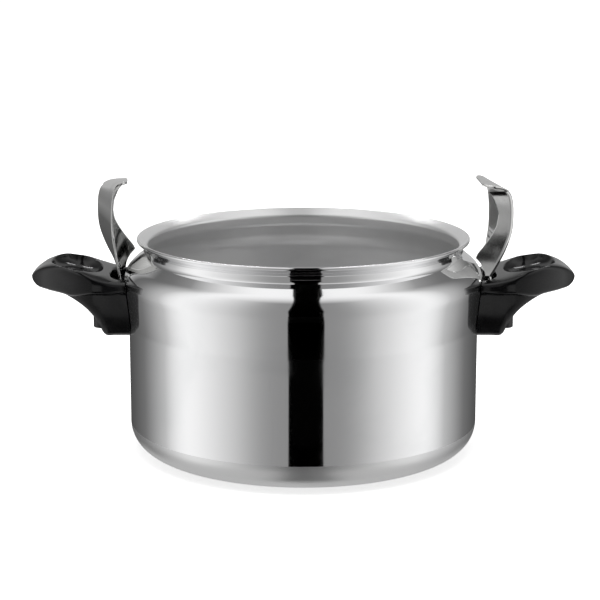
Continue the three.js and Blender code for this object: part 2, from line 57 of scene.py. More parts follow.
camera = bpy.data.objects.new("camera", bpy.data.cameras.new("camera"))
camera.data.sensor_width = 36
camera.data.lens = 111.7
camera.data.clip_start = 0.01
camera.location = (-0.0021, -1.151, 0.3475)
camera.rotation_euler = (np.radians(77.54), 0, 0)
scene.collection.objects.link(camera)
scene.camera = camera


def grid_mesh(name, points, around=False):
    """A smooth mesh over a grid of points [row, column, xyz], facing (row step) x (column step).

    "around" joins the last column to the first.
    """
    rows, columns = points.shape[:2]
    number = np.arange(rows * columns).reshape(rows, columns)
    if around:
        number = np.concatenate([number, number[:, :1]], axis=1)
    corners = [number[:-1, :-1], number[1:, :-1], number[1:, 1:], number[:-1, 1:]]
    quads = np.stack(corners, axis=-1).reshape(-1, 4)
    return mesh_piece(name, points.reshape(-1, 3), quads.tolist())


def mesh_piece(name, points, faces):
    """An object at the origin whose smooth-shaded mesh holds the given points and faces."""
    mesh = bpy.data.meshes.new(name)
    mesh.from_pydata(points, [], faces)
    mesh.polygons.foreach_set("use_smooth", np.ones(len(mesh.polygons), bool))
    piece = bpy.data.objects.new(name, mesh)
    scene.collection.objects.link(piece)
    return piece


def wire(tree, kind, sockets=(), **settings):
    """Adds a shader node: settings are its own options, and sockets pair inputs with values or links."""
    node = tree.nodes.new("ShaderNode" + kind)
    for option, value in settings.items():
        setattr(node, option, value)
    for socket, value in dict(sockets).items():
        if isinstance(value, bpy.types.NodeSocket):
            tree.links.new(value, node.inputs[socket])
        else:
            node.inputs[socket].default_value = value
    return node


def calculate(tree, operation, *values, clamp=False):
    """The result of one Math node over numbers and links."""
    return wire(tree, "Math", dict(enumerate(values)), operation=operation, use_clamp=clamp).outputs[0]


def remap(tree, value, start, end, low=0.0, high=1.0):
    """Turns start..end into low..high, and holds those beyond."""
    limits = {"From Min": start, "From Max": end, "To Min": low, "To Max": high}
    return wire(tree, "MapRange", {"Value": value, **limits}).outputs[0]


def distance_from(tree, value, centre):
    """How far a value is from a centre, either way."""
    return calculate(tree, "ABSOLUTE", calculate(tree, "SUBTRACT", value, centre))


def ramp(tree, value, stops, interpolation):
    """A colour ramp's grey at value: stops pair places from 0 to 1 with brightnesses."""
    node = wire(tree, "ValToRGB", {0: value})
    node.color_ramp.interpolation = interpolation
    elements = node.color_ramp.elements
    while len(elements) < len(stops):
        elements.new(0.5)
    for element, (position, grey) in zip(elements, stops):
        element.position = position
        element.color = (grey, grey, grey, 1)
    return node.outputs[0]


def new_material(name):
    """A material and its Principled shader."""
    material = bpy.data.materials.new(name)
    material.use_nodes = True
    return material, material.node_tree.nodes["Principled BSDF"]


FLOOR_REACH = 6.0
FLOOR_DROP = 0.0004  # keeps the floor just clear of the base
floor_edge = np.linspace(-FLOOR_REACH, FLOOR_REACH, 3)
floor_x, floor_y = np.meshgrid(floor_edge, floor_edge, indexing="ij")
floor = grid_mesh("floor", np.stack([floor_x, floor_y, np.full_like(floor_x, -FLOOR_DROP)], axis=-1))
floor_paint, paint = new_material("floor paint")
paint.inputs["Base Color"].default_value = (0.95, 0.95, 0.95, 1)
paint.inputs["Roughness"].default_value = 0.9
paint.inputs["Emission Color"].default_value = (1, 1, 1, 1)
paint.inputs["Emission Strength"].default_value = 0.55
floor.data.materials.append(floor_paint)
floor.visible_glossy = False

# Round the pot, brightness follows the direction's angle from the front, in half turns.
SLIT_LEAN = 0.026  # the tent is turned this far towards the right
WALL_STOPS = [  # degrees from the front, and the cloth's brightness there
    (0, 0.27),
    (18, 0.27),
    (32, 0.36),
    (47, 0.62),
    (62, 0.80),
    (80, 1.05),
    (92, 0.95),
    (104, 0.56),
    (130, 0.11),
    (180, 0.06),
]
tent = bpy.data.worlds.new("studio tent")
scene.world = tent
tent.use_nodes = True
cloth = tent.node_tree
direction = wire(cloth, "SeparateXYZ", {0: wire(cloth, "TexCoord").outputs["Generated"]})
side, depth, rise = direction.outputs
turn = calculate(cloth, "ARCTAN2", side, calculate(cloth, "MULTIPLY", depth, -1.0))
half_turns = calculate(cloth, "DIVIDE", distance_from(cloth, turn, SLIT_LEAN), np.pi)
wall_light = ramp(cloth, half_turns, [(angle / 180, grey) for angle, grey in WALL_STOPS], "B_SPLINE")

# High overhead and low underneath, the cloth is more even.
HEIGHT_STOPS = [  # the direction's rise, and how far the walls' own pattern gives way to even cloth
    (-1.0, 1.0),
    (-0.66, 1.0),
    (-0.54, 0.0),
    (0.75, 0.0),
    (0.97, 0.9),
    (1.0, 0.95),
]
rise_share = calculate(cloth, "MULTIPLY_ADD", rise, 0.5, 0.5)
even_share = ramp(cloth, rise_share, [((level + 1) / 2, share) for level, share in HEIGHT_STOPS], "LINEAR")
roof_light = remap(cloth, rise, -0.6, 0.95, 0.55, 1.0)

# Behind the pot the cloth is lit too, except in a band at the height that the wall's edges mirror.
BACK_LIGHT = 0.5
EDGE_BAND = -0.295  # the band's middle, as a rise
behind = remap(cloth, half_turns, 0.77, 0.83)
off_band = remap(cloth, distance_from(cloth, rise, EDGE_BAND), 0.115, 0.16)
back_share = calculate(cloth, "MULTIPLY", behind, off_band)
back_light = wire(cloth, "Mix", {"Factor": back_share, "A": wall_light, "B": BACK_LIGHT})
tent_light = wire(cloth, "Mix", {"Factor": even_share, "A": back_light.outputs[0], "B": roof_light})

# The black slit runs from the floor in front up to just past the zenith. At the latches' height it
# is a pale card instead: there a black flag near the pot stands in for it, beside the latches' view.
SLIT_WIDE, SLIT_NARROW = 0.185, 0.09  # its half width low down and at the zenith
SLIT_END = 0.9  # rise above which it runs on past the zenith
CARD_RISE, CARD_HALF_HEIGHT = -0.185, 0.065
slit_half_width = remap(cloth, rise, 0.3, 1.0, SLIT_WIDE, SLIT_NARROW)
in_width = calculate(cloth, "LESS_THAN", distance_from(cloth, side, SLIT_LEAN), slit_half_width)
ahead = calculate(cloth, "LESS_THAN", depth, 0.0)
overhead = calculate(cloth, "GREATER_THAN", rise, SLIT_END)
slit = calculate(cloth, "MULTIPLY", in_width, calculate(cloth, "MAXIMUM", ahead, overhead))
in_card = calculate(cloth, "LESS_THAN", distance_from(cloth, rise, CARD_RISE), CARD_HALF_HEIGHT)
card_light = remap(cloth, rise, -0.205, -0.15, 0.62, 0.36)
slit_light = calculate(cloth, "MULTIPLY", in_card, card_light)
lit = wire(cloth, "Mix", {"Factor": slit, "A": tent_light.outputs[0], "B": slit_light})
seen_directly = wire(cloth, "LightPath").outputs["Is Camera Ray"]
shown_light = wire(cloth, "Mix", {"Factor": seen_directly, "A": lit.outputs[0], "B": 1.0})
cloth.links.new(shown_light.outputs[0], cloth.nodes["Background"].inputs["Color"])


def softbox(name, place, wide, deep, watts, mirrored):
    """A rectangular lamp that faces straight down; mirrored says whether polished metal shows it."""
    lamp = bpy.data.objects.new(name, bpy.data.lights.new(name, "AREA"))
    lamp.data.shape = "RECTANGLE"
    lamp.data.size, lamp.data.size_y = wide, deep
    lamp.data.energy = watts
    lamp.location = place
    lamp.visible_camera = False
    lamp.visible_glossy = mirrored
    scene.collection.objects.link(lamp)


softbox("overhead softbox", (0, 0.15, 1.5), 1.2, 1.2, 16, False)
softbox("left strip light", (-0.45, 0.95, 1.25), 0.6, 0.12, 2, True)
softbox("right strip light", (0.45, 0.95, 1.25), 0.6, 0.12, 2, True)

FLAG_LEFT, FLAG_RIGHT = -0.090, 0.1206
FLAG_LOW, FLAG_HIGH = -0.12, 0.055
FLAG_AHEAD = -0.6
flag_outline = [
    (FLAG_LEFT, FLAG_LOW),
    (FLAG_RIGHT, FLAG_LOW),
    (FLAG_RIGHT, FLAG_HIGH),
    (FLAG_LEFT, FLAG_HIGH),
]
flag = mesh_piece("black flag", [(x, FLAG_AHEAD, z) for x, z in flag_outline], [(0, 1, 2, 3)])
flag_cloth, felt = new_material("black flag cloth")
felt.inputs["Base Color"].default_value = (0.001, 0.001, 0.001, 1)
felt.inputs["Specular IOR Level"].default_value = 0.0
flag.data.materials.append(flag_cloth)
flag.visible_camera = flag.visible_diffuse = flag.visible_shadow = False

# ---------------------------------------------------------------------------------------------
# Pot body: one aluminium blank, deep drawn, necked in and flared at the lip. Outside it is buffed
# to a mirror down to the base's rounded corner; the inside and the base are left satin.
# ---------------------------------------------------------------------------------------------
MM = 0.001
pole = 0.001 * MM  # radius of the ring that closes a surface on its axis
POT_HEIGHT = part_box("pot_body")[1].z
WALL_RADIUS = 110 * MM
WALL_THICKNESS = 2.5 * MM
BASE_THICKNESS = 3 * MM
BASE_CORNER = 17.6 * MM
SHOULDER_DROP = 28 * MM
FLARE_LENGTH = 25.4 * MM
FLARE_GAIN = 2.9 * MM
SHOULDER_BEND = 16 * MM
SHOULDER_ANGLE = np.radians(50)
NECK_INSET = 10 * MM
LIP_REACH = 4.4 * MM
LIP_THICKNESS = 2.4 * MM
LIP_ANGLE = np.radians(40)
shoulder_height = POT_HEIGHT - SHOULDER_DROP
flare_start = shoulder_height - FLARE_LENGTH
body_radius = WALL_RADIUS + FLARE_GAIN
neck_radius = WALL_RADIUS - NECK_INSET


def arc(x, z, radius, start, end, count=14):
    """Points [x, z] on a circle round (x, z), the angle running evenly from start to end."""
    angle = np.linspace(start, end, count)
    return np.stack([x + radius * np.cos(angle), z + radius * np.sin(angle)], axis=1)


def bend(start, corner, end, count=9):
    """Points on the parabola that leaves start towards corner and reaches end from corner."""
    t = np.linspace(0, 1, count)[:, None]
    start, corner, end = np.array(start), np.array(corner), np.array(end)
    return (1 - t) ** 2 * start + 2 * t * (1 - t) * corner + t**2 * end


def straight(start, end, count):
    """Evenly spaced points between two ends, which are left out."""
    t = np.linspace(0, 1, count + 2)[1:-1, None]
    return (1 - t) * np.array(start) + t * np.array(end)


def body_outline(inset, floor_height):
    """The body from the base's corner to the neck, moved inwards by inset: arc, wall, flare, arc, neck."""
    corner = BASE_CORNER - inset
    base_arc = arc(WALL_RADIUS - BASE_CORNER, floor_height + corner, corner, -np.pi / 2, 0, 20)
    shoulder_x = body_radius - SHOULDER_BEND
    shoulder = arc(shoulder_x, shoulder_height, SHOULDER_BEND - inset, 0, SHOULDER_ANGLE, 18)
    slope = np.tan(np.pi / 2 - SHOULDER_ANGLE)
    neck_x = neck_radius - inset
    meet = shoulder[-1, 1] + (shoulder[-1, 0] - neck_x) * slope
    soft = 1.6 * MM
    neck = bend([neck_x + soft, meet - soft * slope], [neck_x, meet], [neck_x, meet + soft])
    foot_x, ease = WALL_RADIUS - inset, 1.5 * MM
    eased_end = [foot_x + ease * FLARE_GAIN / FLARE_LENGTH, flare_start + ease]
    flare_foot = bend([foot_x, flare_start - ease], [foot_x, flare_start], eased_end, 5)
    wall = straight(base_arc[-1], flare_foot[0], 12)
    flare = straight(flare_foot[-1], shoulder[0], 8)
    return np.concatenate([base_arc, wall, flare_foot, flare, shoulder, neck])


def lip_outline():
    """The lip: out from the neck at LIP_ANGLE, half a turn round its edge, and back into the bore."""
    half = LIP_THICKNESS / 2
    edge_x = neck_radius + LIP_REACH - half
    edge = arc(edge_x, POT_HEIGHT - half, half, LIP_ANGLE - np.pi / 2, LIP_ANGLE + np.pi / 2)
    slope = np.tan(LIP_ANGLE)
    bore_x = neck_radius - WALL_THICKNESS
    under = edge[0, 1] - (edge[0, 0] - neck_radius) * slope
    over = edge[-1, 1] - (edge[-1, 0] - bore_x) * slope
    soft = 1.2 * MM
    gain = soft * slope
    leave = bend([neck_radius, under - soft], [neck_radius, under], [neck_radius + soft, under + gain])
    arrive = bend([bore_x + soft, over + gain], [bore_x, over], [bore_x, over - soft])
    return np.concatenate([leave, edge, arrive])


def turned(name, outline, sides=240):
    """A surface of revolution about +Z: every outline point [radius, height] runs once round.

    Rings as small as a pole's, and a closed outline's two equal ends, are merged.
    """
    angle = np.linspace(0, 2 * np.pi, sides, endpoint=False)
    radius, height = outline[:, :1], outline[:, 1:]
    level = np.broadcast_to(height, (len(outline), sides))
    rings = np.stack([radius * np.cos(angle), radius * np.sin(angle), level], axis=-1)
    piece = grid_mesh(name, rings[::-1], around=True)
    joined = bmesh.new()
    joined.from_mesh(piece.data)
    bmesh.ops.remove_doubles(joined, verts=joined.verts, dist=4 * pole)
    joined.to_mesh(piece.data)
    joined.free()
    return piece


base_edge = WALL_RADIUS - BASE_CORNER
pot = turned(
    "pot",
    np.concatenate(
        [
            [[pole, 0]],
            straight([pole, 0], [base_edge, 0], 14),
            body_outline(0, 0),
            lip_outline(),
            body_outline(WALL_THICKNESS, BASE_THICKNESS)[::-1],
            straight([base_edge, BASE_THICKNESS], [pole, BASE_THICKNESS], 14),
            [[pole, BASE_THICKNESS]],
        ]
    ),
)


def object_place(tree):
    """Where the shaded point lies, in the object's own coordinates."""
    return wire(tree, "TexCoord").outputs["Object"]


def effect(name, inputs, outputs):
    """A shader node group with named float inputs (and their defaults) and named float outputs."""
    tree = bpy.data.node_groups.new(name, "ShaderNodeTree")
    for label, value in inputs.items():
        socket = tree.interface.new_socket(label, in_out="INPUT", socket_type="NodeSocketFloat")
        socket.default_value = value
    for label in outputs:
        tree.interface.new_socket(label, in_out="OUTPUT", socket_type="NodeSocketFloat")
    return tree, tree.nodes.new("NodeGroupInput").outputs, tree.nodes.new("NodeGroupOutput").inputs


# Turned marks: noise that depends only on the distance from the axis and the height, so that it
# makes fine rings round the pot, with a slow variation of their strength.
turned_marks, marks_in, marks_out = effect(
    "turned marks", {"Rings per metre": 2500.0}, ["Height", "Strength"]
)
place = object_place(turned_marks)
place_x, place_y, place_z = wire(turned_marks, "SeparateXYZ", {0: place}).outputs
x_square = calculate(turned_marks, "MULTIPLY", place_x, place_x)
squares = calculate(turned_marks, "MULTIPLY_ADD", place_y, place_y, x_square)
from_axis = calculate(turned_marks, "SQRT", squares)
ring_place = wire(turned_marks, "CombineXYZ", {"X": from_axis, "Y": place_z}).outputs[0]
ring_scale = {"Scale": marks_in["Rings per metre"], "Detail": 3.0, "Roughness": 0.7}
rings = wire(turned_marks, "TexNoise", {"Vector": ring_place, **ring_scale})
patches = wire(turned_marks, "TexNoise", {"Vector": place, "Scale": 35.0, "Detail": 2.0})
turned_marks.links.new(rings.outputs["Fac"], marks_out["Height"])
turned_marks.links.new(patches.outputs["Fac"], marks_out["Strength"])

# Handling: soft smudges left by hands and cloths, and sparse hairline scratches.
handling, handling_in, handling_out = effect(
    "handling", {"Smudge scale": 18.0, "Scratch scale": 90.0}, ["Smudges", "Scratches"]
)
place = object_place(handling)
cloud_scale = {"Scale": handling_in["Smudge scale"], "Detail": 5.0, "Distortion": 0.6}
cloudy = wire(handling, "TexNoise", {"Vector": place, **cloud_scale})
smudges = wire(
    handling,
    "MapRange",
    {"Value": cloudy.outputs["Fac"], "From Min": 0.45, "From Max": 0.75},
    interpolation_type="SMOOTHSTEP",
)
tilted = wire(handling, "Mapping", {"Vector": place, "Rotation": (0.5, 0.9, 0.3), "Scale": (1.0, 1.0, 0.04)})
hair_scale = {"Scale": handling_in["Scratch scale"], "Detail": 6.0, "Roughness": 0.8}
hairs = wire(handling, "TexNoise", {"Vector": tilted.outputs[0], **hair_scale})
handling.links.new(smudges.outputs[0], handling_out["Smudges"])
handling.links.new(remap(handling, hairs.outputs["Fac"], 0.62, 0.72), handling_out["Scratches"])


def use_effect(tree, group, **values):
    """Places a node group in a material, its inputs named with underscores."""
    node = wire(tree, "Group", node_tree=group)
    for label, value in values.items():
        node.inputs[label.replace("_", " ")].default_value = value
    return node.outputs


def add_bumps(tree, height, strength, distance):
    """Gives a material's shader the normal of a bump."""
    bumps = wire(tree, "Bump", {"Height": height, "Strength": strength, "Distance": distance})
    tree.links.new(bumps.outputs[0], tree.nodes["Principled BSDF"].inputs["Normal"])


def worn_colour(tree, mask, colour, darker):
    """A colour that falls to a darker one where the mask is 1."""
    colours = {6: (*colour, 1), 7: (*darker, 1)}
    return wire(tree, "Mix", {"Factor": mask, **colours}, data_type="RGBA").outputs[2]


def metal(name, colour, darker, roughness, roughest, rings=0.0, ring_depth=0.0, smudge_scale=18.0):
    """A bare metal: colour falls to darker and roughness rises to roughest where hands have been."""
    material, shader = new_material(name)
    tree = material.node_tree
    shader.inputs["Metallic"].default_value = 1.0
    marks = use_effect(tree, handling, Smudge_scale=smudge_scale)
    worn = calculate(tree, "MAXIMUM", marks["Smudges"], calculate(tree, "MULTIPLY", marks["Scratches"], 0.6))
    tree.links.new(worn_colour(tree, worn, colour, darker), shader.inputs["Base Color"])
    tree.links.new(remap(tree, worn, 0.0, 1.0, roughness, roughest), shader.inputs["Roughness"])
    if rings:
        turning = use_effect(tree, turned_marks, Rings_per_metre=rings)
        share = remap(tree, turning["Strength"], 0.0, 1.0, 0.5, 1.0)
        add_bumps(tree, calculate(tree, "MULTIPLY", turning["Height"], share), 1.0, ring_depth)
    return material


def face_vectors(piece, kind):
    """The centre or the normal of every face of a piece, one row each."""
    values = np.zeros(3 * len(piece.data.polygons))
    piece.data.polygons.foreach_get(kind, values)
    return values.reshape(-1, 3)


mirror_buffed = metal(
    "mirror buffed aluminium",
    (0.90, 0.90, 0.905),
    (0.85, 0.855, 0.86),
    roughness=0.045,
    roughest=0.09,
    rings=1400,
    ring_depth=0.0000015,
)
satin_inside = metal(
    "satin aluminium",
    (0.80, 0.80, 0.80),
    (0.74, 0.74, 0.745),
    roughness=0.30,
    roughest=0.38,
    rings=1800,
    ring_depth=0.00001,
)
satin_base = metal(
    "satin base aluminium",
    (0.84, 0.84, 0.84),
    (0.78, 0.78, 0.785),
    roughness=0.34,
    roughest=0.42,
    rings=1500,
    ring_depth=0.000012,
)
# A share of the inside's light is scattered, which makes it paler than bare satin metal.
satin_inside.node_tree.nodes["Principled BSDF"].inputs["Metallic"].default_value = 0.8
for finish in (mirror_buffed, satin_inside, satin_base):
    pot.data.materials.append(finish)
MIRROR, INSIDE, BASE = 0, 1, 2  # the places of those three on the pot
UPWARD = 0.5  # a normal that rises more than this belongs to the floor inside
face_centres, face_normals = face_vectors(pot, "center"), face_vectors(pot, "normal")
face_height = face_centres[:, 2]
faces_axis = (face_normals[:, :2] * face_centres[:, :2]).sum(axis=1) < 0
is_inside_floor = (face_normals[:, 2] > UPWARD) & (face_height < BASE_THICKNESS + 0.1 * MM)
is_inside = faces_axis | is_inside_floor
is_base = (face_height < BASE_CORNER) & ~is_inside
finishes = np.where(is_inside, INSIDE, np.where(is_base, BASE, MIRROR))
pot.data.polygons.foreach_set("material_index", finishes.astype(np.int32))
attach(pot, "root")
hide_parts("pot_body")

# ---------------------------------------------------------------------------------------------
# Rivets: two solid aluminium rivets a side hold each bracket to the wall. Their domed heads show
# inside the pot, and their hammered ends bear on the bracket.
# ---------------------------------------------------------------------------------------------
RIVET_RADIUS = 2.4 * MM
RIVET_HEAD_RADIUS = 4.2 * MM
RIVET_HEAD_RISE = 1.5 * MM
RIVET_HEIGHT = -19.4 * MM
RIVET_SPREAD = np.radians(5.5)
PLATE_THICKNESS = 1.6 * MM
POT_GAP = 0.4 * MM
GAP = 0.3 * MM

# The two sides of the pot: each unit is the other turned half way round the pot's axis.
UNITS = {"right": 0.0, "left": np.pi}


def move_mesh(piece, turn=0.0, placing=None):
    """Applies a 3 x 3 matrix and an offset, if given, and then a turn about +Z to a piece's points."""
    points = np.zeros(3 * len(piece.data.vertices))
    piece.data.vertices.foreach_get("co", points)
    points = points.reshape(-1, 3)
    if placing is not None:
        matrix, offset = placing
        points = points @ np.array(matrix).T + np.array(offset)
    spin = np.array([[np.cos(turn), -np.sin(turn), 0], [np.sin(turn), np.cos(turn), 0], [0, 0, 1]])
    piece.data.vertices.foreach_set("co", (points @ spin.T).ravel())
    piece.data.update()
    return piece


def rivet_outline():
    """A rivet along its axis: domed head inside the pot, shank, and a flatter set head outside."""
    inside_face = -WALL_THICKNESS - GAP
    outside_face = POT_GAP + PLATE_THICKNESS + GAP
    crown = inside_face - RIVET_HEAD_RISE
    dome = bend([pole, crown], [0.95 * RIVET_HEAD_RADIUS, crown], [RIVET_HEAD_RADIUS, inside_face], 16)
    set_head = bend(
        [0.9 * RIVET_HEAD_RADIUS, outside_face],
        [0.85 * RIVET_HEAD_RADIUS, outside_face + RIVET_HEAD_RISE],
        [pole, outside_face + RIVET_HEAD_RISE],
        12,
    )
    return np.concatenate([dome, [[RIVET_RADIUS, inside_face], [RIVET_RADIUS, outside_face]], set_head])


rivet_metal = metal("set aluminium", (0.78, 0.78, 0.785), (0.70, 0.70, 0.71), 0.24, 0.36, smudge_scale=160.0)
rivet_tree = rivet_metal.node_tree
hammering = wire(rivet_tree, "TexNoise", {"Vector": object_place(rivet_tree), "Scale": 420.0, "Detail": 2.0})
add_bumps(rivet_tree, hammering.outputs["Fac"], 0.6, 0.0002)
wall_tilt = np.arctan(FLARE_GAIN / FLARE_LENGTH)
rivet_z = shoulder_height + RIVET_HEIGHT
rivet_x = WALL_RADIUS + (rivet_z - flare_start) * np.tan(wall_tilt)
lean = np.pi / 2 + wall_tilt
out_of_wall = [[np.cos(lean), 0, np.sin(lean)], [0, 1, 0], [-np.sin(lean), 0, np.cos(lean)]]
for unit, unit_turn in UNITS.items():
    for place_name, spread_turn in (("front", -RIVET_SPREAD), ("back", RIVET_SPREAD)):
        rivet = turned(f"{unit}_rivet_{place_name}_set", rivet_outline(), 48)
        move_mesh(rivet, unit_turn + spread_turn, (out_of_wall, (rivet_x, 0, rivet_z)))
        rivet.data.materials.append(rivet_metal)
        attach(rivet, "root")
        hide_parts(f"{unit}_rivet_{place_name}")

# ---------------------------------------------------------------------------------------------
# Brackets: a plated steel plate pressed to the wall's curve, with two ears for the latch's pin
# and a tongue for the handle's screw. The CAD node is shown, with a zinc-plated finish.
# ---------------------------------------------------------------------------------------------
zinc_plated = metal(
    "zinc plated steel", (0.56, 0.57, 0.59), (0.40, 0.40, 0.41), 0.30, 0.48, smudge_scale=120.0
)
zinc_tree = zinc_plated.node_tree
spangle = wire(zinc_tree, "TexVoronoi", {"Vector": object_place(zinc_tree), "Scale": 900.0})
add_bumps(zinc_tree, spangle.outputs["Distance"], 0.25, 0.00005)
for unit in UNITS:
    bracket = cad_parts[f"{unit}_bracket"]
    bracket.data.materials.clear()
    bracket.data.materials.append(zinc_plated)

# ---------------------------------------------------------------------------------------------
# Latches: stainless strip, 1.5 mm thick, rolled round the pin, twisted and hooked over at the top.
# A web folded in from the front edge stiffens it. The whole is polished.
# ---------------------------------------------------------------------------------------------
HINGE_OUT = 4.3 * MM
HINGE_HEIGHT = -6 * MM
PIN_RADIUS = 1.6 * MM
PIN_CLEARANCE = 0.3 * MM
LATCH_WIDTH = 33 * MM
LATCH_THICKNESS = 1.5 * MM
LATCH_CLOSING = np.radians(8)
SHOULDER_GAP = 0.6 * MM
LATCH_LINE = [  # out from the pin, up from it (mm), and the strip's twist (degrees)
    (-2.5, 2.6, 1.5),
    (-1.8, 9, 4),
    (1, 17.5, 9.5),
    (4, 26.5, 15.5),
    (6.7, 38, 20.5),
    (7.2, 49, 22),
    (6.5, 58, 22),
    (5, 63.2, 20),
    (1.6, 66.8, 15),
    (-7.2, 68.4, 5),
]
HOOK_TILT = np.radians(3.5)
HOOK_START = 60 * MM
HOOK_CORNER = 6 * MM
KNUCKLE_START = np.radians(95)
WEB_DEPTHS = np.array([(8, 16), (25, 16.5), (42, 10.5), (50, 9.5), (58, 11.5), (65, 13)]) * MM
FOLD_RADIUS = 1.6 * MM
EDGE_RADIUS = 0.35 * MM
WEB_START_FADE = 3 * MM
WEB_END_FADE = 1 * MM
pin_x = body_radius + HINGE_OUT
pin_z = shoulder_height + HINGE_HEIGHT
pin_hole = PIN_RADIUS + PIN_CLEARANCE


def smooth_curve(points, samples):
    """The centripetal Catmull-Rom curve through the points, at samples from 0 to 1 over its spans."""
    points = np.array(points, float)
    knots = np.concatenate([[2 * points[0] - points[1]], points, [2 * points[-1] - points[-2]]])
    gaps = np.linalg.norm(np.diff(knots, axis=0), axis=1) ** 0.5
    position = samples * (len(points) - 1)
    span = np.minimum(position.astype(int), len(points) - 2)
    t = (position - span)[:, None]
    before, start, end, after = (knots[span + k] for k in range(4))
    gap_before, gap, gap_after = (gaps[span + k][:, None] for k in range(3))
    step = (end - start) / gap
    leave = gap * ((start - before) / gap_before - (end - before) / (gap_before + gap) + step)
    arrive = gap * (step - (after - start) / (gap + gap_after) + (after - end) / gap_after)
    square_part = 3 * (end - start) - 2 * leave - arrive
    cube_part = 2 * (start - end) + leave + arrive
    return start + t * (leave + t * (square_part + t * cube_part))


def smoothstep(value, low, high):
    """0 below low, 1 above high, and an even S between."""
    t = np.clip((value - low) / (high - low), 0, 1)
    return t * t * (3 - 2 * t)


def latch_centre_line():
    """Stations [out, up, twist, tilt] of the strip: the rolled knuckle, then the line to the hook's tip."""
    radius = pin_hole + LATCH_THICKNESS / 2
    roll = np.linspace(KNUCKLE_START, -np.pi, 56, endpoint=False)
    level = np.zeros_like(roll)
    knuckle = np.stack([radius * np.cos(roll), radius * np.sin(roll), level, level], axis=1)
    weigh = np.array([MM, MM, MM / 4])  # four degrees of twist weigh as one millimetre
    knots = np.array([(-radius / MM, 0, 0), *LATCH_LINE]) * weigh
    line = smooth_curve(knots, np.linspace(0, 1, 180))
    twist = np.radians(line[:, 2] / weigh[2])
    tilt = HOOK_TILT * smoothstep(line[:, 1], HOOK_START, LATCH_LINE[-1][1] * MM)
    return np.concatenate([knuckle, np.stack([line[:, 0], line[:, 1], twist, tilt], axis=1)])


def clear_web_depth(stations, wanted):
    """The web's depth at each station, cut short where the closed latch would meet the shoulder."""
    outline = body_outline(-SHOULDER_GAP, -SHOULDER_GAP)
    share = np.linspace(0, 1, 80)
    out, up, twist = stations[:, 0], stations[:, 1], stations[:, 2]
    edge = LATCH_WIDTH / 2
    along_x = (out + edge * np.sin(twist))[:, None] - wanted[:, None] * share
    front = (-edge * np.cos(twist))[:, None] + LATCH_THICKNESS
    swung_x = pin_x + along_x * np.cos(LATCH_CLOSING) - up[:, None] * np.sin(LATCH_CLOSING)
    swung_z = pin_z + along_x * np.sin(LATCH_CLOSING) + up[:, None] * np.cos(LATCH_CLOSING)
    shoulder = np.interp(swung_z, outline[:, 1], outline[:, 0])
    clear = np.hypot(swung_x, front) > shoulder
    return wanted * np.cumprod(clear, axis=1).sum(axis=1) / len(share)


def unit_rows(vectors):
    """The vectors, each made one long."""
    return vectors / np.linalg.norm(vectors, axis=1, keepdims=True)


